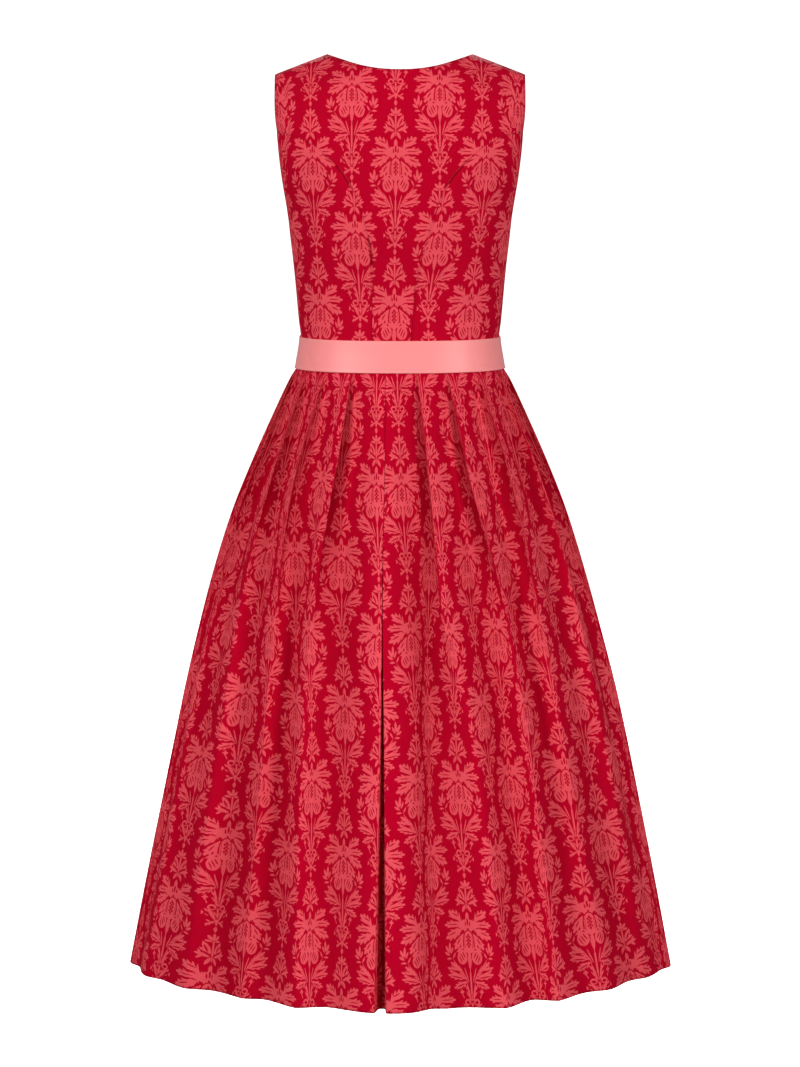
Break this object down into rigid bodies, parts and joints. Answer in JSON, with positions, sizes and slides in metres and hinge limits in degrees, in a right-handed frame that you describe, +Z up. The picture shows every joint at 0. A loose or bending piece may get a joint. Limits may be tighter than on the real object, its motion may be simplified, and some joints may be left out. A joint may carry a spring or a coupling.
{
  "type": "dirndl",
  "caption": "Sleeveless dirndl in its worn, hollow form: fitted bodice with curved back seams, ribbon round the waist and knife-pleated midi skirt.",
  "frame": {"origin": "midway between the two shoulder high points, where the neck edge meets the shoulder seams", "axes": "+X to the wearer's right, +Y out of the wearer's chest so that the centre back faces -Y, +Z up"},
  "size_m": [0.6776, 0.4737, 1.1142],
  "materials": {
    "jacquard": "crimson cotton jacquard with a tone-on-tone coral damask, matt ground and slightly silky figure",
    "ribbon": "smooth salmon-pink satin-like ribbon"
  },
  "bodies": {
    "root": {"back_centre": "jacquard", "back_side_left": "jacquard", "back_side_right": "jacquard", "front_left": "jacquard", "front_right": "jacquard", "waist_ribbon": "ribbon", "skirt_back_left": "jacquard", "skirt_back_right": "jacquard", "skirt_front_left": "jacquard", "skirt_front_right": "jacquard"}
  },
  "joints": []
}
